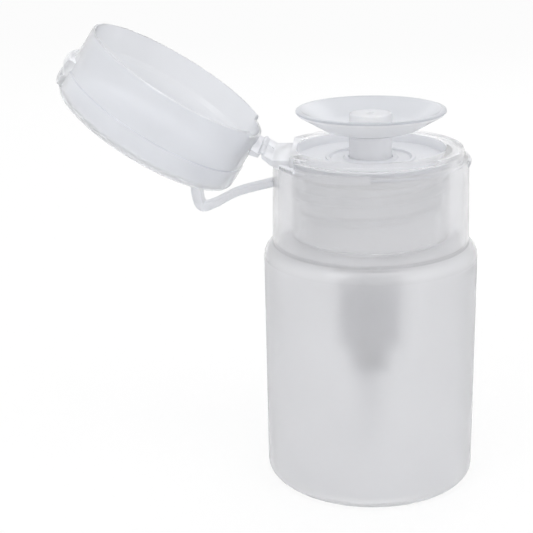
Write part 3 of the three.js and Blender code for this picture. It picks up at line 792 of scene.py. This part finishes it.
def make_lid():
    """Flip lid with its tab, lugs and the notch that clears the bracket."""
    lid = make_lid_shell()
    notch_top = LID_RIM_Z + NOTCH_HEIGHT
    notch = block("notch", -HINGE_FAR, CHORD_X + 2, CUT_LOW, notch_top, LEDGE_HALF + NOTCH_GAP)
    combine(lid, notch, "DIFFERENCE")
    add_tab(lid)
    add_lugs(lid)
    soften(lid, 0.1)
    dress(lid, LID, "lid", "clear_cap", "flip_lid")
    # Painted shade: the lid's inner faces take the darker copy of its plastic
    other_part(lid, LID_INSIDE_SHADE, lambda p, n: n.xy.dot(p.xy) < -1
               or n.z < -0.5 and p.z > LID_RIM_Z + LID_STEP - 2)
    # Painted shade on the lid's lugs
    other_part(lid, HINGE_SHADE_PLASTIC, lambda p, n: p.x < -LID_R - 0.05 and p.z < LID_RIM_Z + LID_STEP)
    # Painted shade on the thumb tab
    other_part(lid, TAB_SHADE, lambda p, n: p.x > LID_R + BAND_STEP + 0.05)
    lid_opened(lid)


# Hinge webs and strap


def band_along(name, course, half_thickness, half_width, corner):
    """A band of rounded section along points (x, z), with a half thickness for each point."""
    bm = bmesh.new()
    rows = []
    for i, here in enumerate(course):
        along = (course[min(i + 1, len(course) - 1)] - course[max(i - 1, 0)]).normalized()
        up = Vector((-along.y, along.x))
        h = half_thickness[i]
        section = rounded([(-half_width, -h, corner), (half_width, -h, corner),
                           (half_width, h, corner), (-half_width, h, corner)])
        rows.append([bm.verts.new((here.x + up.x * p.y, p.x, here.y + up.y * p.y)) for p in section])
    skin(bm, rows)
    return finish_mesh(name, bm)


def spline(points, steps):
    """Catmull-Rom curve through points."""
    ends = [2 * points[0] - points[1], *points, 2 * points[-1] - points[-2]]
    course = []
    for i in range(1, len(ends) - 2):
        a, b, c, d = ends[i - 1:i + 3]
        for k in range(steps):
            t = k / steps
            course.append(0.5 * (2 * b + (c - a) * t + (2 * a - 5 * b + 4 * c - d) * t * t
                                 + (3 * b - a - 3 * c + d) * t ** 3))
    course.append(points[-1])
    return course


def make_strap():
    """The strap that snaps the lid open, which bends between collar and lid."""
    course = spline([Vector(p) for p in STRAP_COURSE], STRAP_STEPS)
    last = len(course) - 1
    half = [STRAP_THIN + STRAP_GROWTH * (i / last) ** 2 for i in range(last + 1)]
    strap = band_along("strap", course, half, STRAP_HALF, 0.3)
    strap.data.materials.append(STRAP)
    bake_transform(strap)
    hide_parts("spring_strap")


def make_webs():
    """The two webs that bend at the hinge."""
    x = HINGE.x + 0.25
    start = Vector((x, HINGE.z - WEB_CLEAR - 0.1))
    middle = Vector((HINGE.x - 0.05, HINGE.z - 0.2))
    end = opened(x, HINGE.z + WEB_CLEAR + 0.1)
    course = spline([start, middle, end], WEB_STEPS)
    half = [WEB_THIN + WEB_GROWTH * abs(i / WEB_STEPS - 1) for i in range(len(course))]
    for side, name in ((-1, "front"), (1, "back")):
        web = band_along("web_" + name, course, half, (WEB_OUTER_Y - WEB_PART) / 2, 0.1)
        web.data.transform(Matrix.Translation((0, side * (WEB_OUTER_Y + WEB_PART) / 2 * MM, 0)))
        web.data.materials.append(HINGE_SHADE_PLASTIC)
        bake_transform(web)
        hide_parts("hinge_web_" + name)


# Pump


def make_dish():
    """Saucer with its boss, its outlet and the hub below."""
    dish = lathe("dish_shell", [
        (HUB_MOUTH, HUB_FOOT, 0.15), (HUB_OUTER_R, HUB_FOOT, 0.2), (HUB_OUTER_R, 69.5, 0.7),
        (9, 70.8, 4), (14, 73.7, 0.5), (DISH_R, 74.1, 0.3), (DISH_R, DISH_TOP, 0.25),
        (13.5, DISH_TOP, 0.3), (8.55, 71.7, 4), (5, 70.4, 0.7), (BOSS_R, 70.8, 0.3),
        (BOSS_R, BOSS_TOP, 0.35), (OUTLET_R, BOSS_TOP, 0.12), (OUTLET_R, OUTLET_ROOF),
        (OUTLET_ROOM_R, OUTLET_ROOF, 0.3), (OUTLET_ROOM_R, OUTLET_FLOOR),
        (HUB_BORE, OUTLET_FLOOR), (HUB_BORE, 65, 0.2), (HUB_MOUTH, 64.3, 0.2)])
    dress(dish, DISH, "plunger", "clear_cap", "press_dish")
    # Painted light: the dish's downward faces take the paler copy
    other_part(dish, DISH_UNDER_LIGHT, lambda p, n: n.z < -0.3)
    other_part(dish, PUMP, lambda p, n: p.xy.length < HUB_LOOK_R)
    other_part(dish, HUB, lambda p, n: p.z < HUB_LOOK_TOP)


def make_guide():
    """Ring in the well round the hub, with a shallow groove on top."""
    guide = lathe("guide_ring_shell", [
        (GUIDE_BORE, GUIDE_FOOT, 0.15), (GUIDE_SPIGOT_R, GUIDE_FOOT, 0.2), (GUIDE_SPIGOT_R, DECK_Z),
        (GUIDE_R, DECK_Z, 0.15), (GUIDE_R, GUIDE_TOP, 0.15), (8, GUIDE_TOP, 0.15),
        (7.6, GUIDE_GROOVE_Z, 0.2), (5.4, GUIDE_GROOVE_Z, 0.2), (5, GUIDE_TOP, 0.12),
        (GUIDE_BORE, GUIDE_TOP, 0.12)], SMALL_STEPS)
    dress(guide, DECK, "pump_unit", "pump_plastic", "guide_ring")


def make_housing():
    """Pump cylinder with its flange, the lower ball's chamber and the dip tube's socket."""
    housing = lathe("housing_shell", [
        (SOCKET_BORE, SOCKET_FOOT, 0.15), (SOCKET_R, SOCKET_FOOT, 0.2), (SOCKET_R, SOCKET_ROOF, 0.3),
        (CHAMBER_R, INLET_TOP, 0.3), (CHAMBER_R, 25.3, 0.5), (BARREL_R, 26.7, 0.6),
        (BARREL_R, BARREL_LOOK_TOP), (BARREL_R, FLANGE_Z, 0.3), (FLANGE_R, FLANGE_Z, 0.2),
        (FLANGE_R, FLANGE_TOP, 0.2), (BARREL_BORE, FLANGE_TOP, 0.15), (BARREL_BORE, BARREL_LOOK_TOP),
        (BARREL_BORE, 27.6, 0.4), (3.6, SEAT_Z, 0.2), (SEAT_R, SEAT_Z, 0.15), (SEAT_R, 25.7, 0.15),
        (INLET_ROOM_R, 24.55, 0.3), (INLET_ROOM_R, 22.65), (INLET_R, INLET_TOP),
        (INLET_R, SOCKET_ROOF), (SOCKET_BORE, SOCKET_ROOF)], SMALL_STEPS)
    dress(housing, BARREL, "pump_unit", "pump_plastic", "pump_housing")
    other_part(housing, SOCKET, lambda p, n: p.z < SOCKET_LOOK_TOP)
    other_part(housing, PUMP, lambda p, n: p.z < TUBE_LOOK_TOP or p.z > BARREL_LOOK_TOP)


def make_gasket():
    """Foam washer between the neck and the flange."""
    gasket = lathe("gasket_ring", [
        (GASKET_BORE, GASKET_FOOT, 0.15), (GASKET_R, GASKET_FOOT, 0.2),
        (GASKET_R, GASKET_TOP, 0.2), (GASKET_BORE, GASKET_TOP, 0.15)])
    dress(gasket, FOAM, "pump_unit", "foam", "neck_gasket")


def make_piston():
    """Cup piston with a lip at each end, and the hollow rod that carries it."""
    foot, top = PISTON_FOOT, PISTON_TOP
    piston = lathe("piston_cup", [
        (PISTON_BORE, foot), (PISTON_WAIST, foot, 0.2), (PISTON_EDGE_R, foot, 0.1),
        (PISTON_LIP_R, foot + 0.55, 0.2), (PISTON_LIP_R, foot + 1.1, 0.2),
        (PISTON_WAIST, foot + 2.2, 0.4), (PISTON_WAIST, top - 2.2, 0.4),
        (PISTON_LIP_R, top - 1.1, 0.2), (PISTON_LIP_R, top - 0.55, 0.2),
        (PISTON_EDGE_R, top, 0.1), (PISTON_BORE, top)], SMALL_STEPS)
    dress(piston, PUMP, "plunger", "pump_plastic", "piston")
    rod = lathe("rod_tube", [
        (ROD_BORE, ROD_FOOT, 0.1), (ROD_NECK_R, ROD_FOOT, 0.2), (ROD_NECK_R, ROD_SHOULDER),
        (ROD_R, ROD_SHOULDER, 0.15), (ROD_R, ROD_TOP, 0.2), (ROD_NECK_R, ROD_TOP, 0.12),
        (ROD_NECK_R, 68.85), (ROD_BORE, 68.05)], SMALL_STEPS)
    dress(rod, PUMP, "plunger", "pump_plastic", "piston_rod")


def make_tube():
    """Dip tube, cut obliquely at its foot."""
    bm = bmesh.new()
    bore = TUBE_R - TUBE_WALL
    outline = rounded([(bore, TUBE_FOOT), (TUBE_R, TUBE_FOOT), (TUBE_R, TUBE_TOP, 0.1), (bore, TUBE_TOP)])
    rings = revolve(bm, outline, SMALL_STEPS)
    for ring in rings:
        for vert in ring[:2]:
            vert.co.z += TUBE_CUT * (vert.co.x + TUBE_R) / (2 * TUBE_R)
    dress(finish_mesh("tube_cut", bm), TUBE, "pump_unit", "pump_plastic", "dip_tube")


def make_ball(name, node, body):
    """A ground steel ball in the middle of its CAD node's box."""
    middle = (low(node) + high(node)) / 2
    radius = (high(node).z - low(node).z) / 2
    bm = bmesh.new()
    bmesh.ops.create_icosphere(bm, subdivisions=4, radius=radius, matrix=Matrix.Translation(middle))
    dress(finish_mesh(name, bm), BALL_STEEL, body, "steel", node)


def coil_points():
    """Points along the wire's middle, with a close turn at each end."""
    foot, top = SPRING_FOOT + WIRE_R, SPRING_TOP - WIRE_R
    pitch = (top - foot - 2 * CLOSE_PITCH) / (COIL_TURNS - 2)
    points = []
    z = foot
    for i in range(COIL_TURNS * COIL_STEPS + 1):
        a = 2 * math.pi * i / COIL_STEPS
        points.append(Vector((COIL_R * math.cos(a), COIL_R * math.sin(a), z)))
        closed = i < COIL_STEPS or i >= (COIL_TURNS - 1) * COIL_STEPS
        z += (CLOSE_PITCH if closed else pitch) / COIL_STEPS
    return points


def make_spring():
    """Coil of round wire, which the stroke squashes from above."""
    points = coil_points()
    bm = bmesh.new()
    rows = []
    for i, point in enumerate(points):
        along = (points[min(i + 1, len(points) - 1)] - points[max(i - 1, 0)]).normalized()
        outward = Vector((point.x, point.y, 0)).normalized()
        across = along.cross(outward).normalized()
        ring = []
        for k in range(WIRE_SIDES):
            a = 2 * math.pi * k / WIRE_SIDES
            ring.append(bm.verts.new(point + outward * WIRE_R * math.cos(a) + across * WIRE_R * math.sin(a)))
        rows.append(ring)
    skin(bm, rows)
    spring = finish_mesh("coil", bm)
    dress(spring, STEEL, "pump_unit", "steel", "return_spring")
    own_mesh(spring)


# Studio
FLOOR_HALF = 3000
FLOOR_GAP = 0.02
FLOOR_GLOW = 0.85
WORLD_LIGHT = 0.9
BOUNCES = 48
DIFFUSE_BOUNCES = 16
LAMP_TARGET = (-10, 0, 50)
# Name, place, width and height, watts
LAMPS = (
    ("key", (-260, -330, 420), (260, 260), 0.35),
    ("fill", (420, -260, 260), (300, 300), 0.25),
    ("back", (60, 420, 330), (420, 200), 0.4),
    ("top", (20, -160, 520), (480, 100), 0.45),
)


def larger(tree, first, second):
    """The larger one of two numbers."""
    node = tree.nodes.new("ShaderNodeMath")
    node.operation = "MAXIMUM"
    tree.links.new(first, node.inputs[0])
    tree.links.new(second, node.inputs[1])
    return node.outputs[0]


def background_rays(tree):
    """1 for rays that show the background: from the camera, mirrored in a piece or seen through one."""
    rays = tree.nodes.new("ShaderNodeLightPath").outputs
    seen = larger(tree, rays["Is Camera Ray"], rays["Is Glossy Ray"])
    return larger(tree, seen, rays["Is Transmission Ray"])


def make_floor():
    """Pale paper that looks nearly white to the camera and still takes the shadow."""
    bm = bmesh.new()
    bmesh.ops.create_grid(bm, x_segments=1, y_segments=1, size=FLOOR_HALF)
    floor = finish_mesh("floor", bm)
    mat, tree, shader = node_material("floor_paper")
    shader.inputs["Base Color"].default_value = (0.88, 0.88, 0.88, 1)
    shader.inputs["Roughness"].default_value = 0.9
    shader.inputs["Specular IOR Level"].default_value = 0.1
    glow = tree.nodes.new("ShaderNodeEmission")
    glow.inputs["Strength"].default_value = 1
    share = tree.nodes.new("ShaderNodeMath")
    share.operation = "MULTIPLY"
    share.inputs[1].default_value = FLOOR_GLOW
    tree.links.new(background_rays(tree), share.inputs[0])
    mix = tree.nodes.new("ShaderNodeMixShader")
    tree.links.new(share.outputs[0], mix.inputs["Fac"])
    tree.links.new(shader.outputs[0], mix.inputs[1])
    tree.links.new(glow.outputs[0], mix.inputs[2])
    tree.links.new(mix.outputs[0], tree.nodes["Material Output"].inputs["Surface"])
    floor.data.materials.append(mat)
    floor.location.z = -FLOOR_GAP * MM


def make_world():
    """White for rays that show the background, and a little less for the light on the object."""
    world = bpy.data.worlds.new("studio")
    bpy.context.scene.world = world
    world.use_nodes = True
    tree = world.node_tree
    back = tree.nodes["Background"]
    back.inputs["Color"].default_value = (1, 1, 1, 1)
    span = tree.nodes.new("ShaderNodeMapRange")
    span.inputs["To Min"].default_value = WORLD_LIGHT
    span.inputs["To Max"].default_value = 1.0
    tree.links.new(background_rays(tree), span.inputs["Value"])
    tree.links.new(span.outputs["Result"], back.inputs["Strength"])


def area_light(name, place, size, power):
    """A soft rectangular lamp that points at the object's middle."""
    data = bpy.data.lights.new(name, "AREA")
    data.shape = "RECTANGLE"
    data.size, data.size_y = size[0] * MM, size[1] * MM
    data.energy = power
    light = bpy.data.objects.new(name, data)
    light.location = Vector(place) * MM
    light.rotation_euler = (Vector(LAMP_TARGET) - Vector(place)).to_track_quat("-Z", "Y").to_euler()
    bpy.context.scene.collection.objects.link(light)


# Camera: place, direction and roll worked out from the photograph
CAMERA_PLACE = Vector((0.30, -231.96, 118.80))
CAMERA_YAW = -0.0903
CAMERA_PITCH = -0.3157
CAMERA_ROLL = -0.023
FOCAL_PIXELS = 1220.8
PICTURE_PIXELS = 533
SENSOR = 36.0


def make_camera():
    """The camera at the photograph's viewing angle."""
    data = bpy.data.cameras.new("camera")
    data.sensor_width = SENSOR
    data.lens = FOCAL_PIXELS / PICTURE_PIXELS * SENSOR
    data.clip_start = 0.01
    forward = Vector((math.sin(CAMERA_YAW) * math.cos(CAMERA_PITCH),
                      math.cos(CAMERA_YAW) * math.cos(CAMERA_PITCH), math.sin(CAMERA_PITCH)))
    right = Vector((math.cos(CAMERA_YAW), -math.sin(CAMERA_YAW), 0))
    up = right.cross(forward)
    c, s = math.cos(CAMERA_ROLL), math.sin(CAMERA_ROLL)
    right, up = right * c + up * s, up * c - right * s
    camera = bpy.data.objects.new("camera", data)
    facing = Matrix((right, up, -forward)).transposed().to_4x4()
    camera.matrix_world = Matrix.Translation(CAMERA_PLACE * MM) @ facing
    bpy.context.scene.collection.objects.link(camera)
    bpy.context.scene.camera = camera


make_camera()
make_floor()
make_world()
for lamp in LAMPS:
    area_light(*lamp)
make_bottle()
make_collar()
make_lid()
make_strap()
make_webs()
make_dish()
make_guide()
make_housing()
make_gasket()
make_piston()
make_tube()
make_ball("lower_ball", "inlet_ball", "inlet_ball")
make_ball("upper_ball", "outlet_ball", "outlet_ball")
make_spring()

scene = bpy.context.scene
scene.view_settings.view_transform = "Standard"
scene.cycles.max_bounces = BOUNCES
scene.cycles.transmission_bounces = BOUNCES
scene.cycles.diffuse_bounces = DIFFUSE_BOUNCES
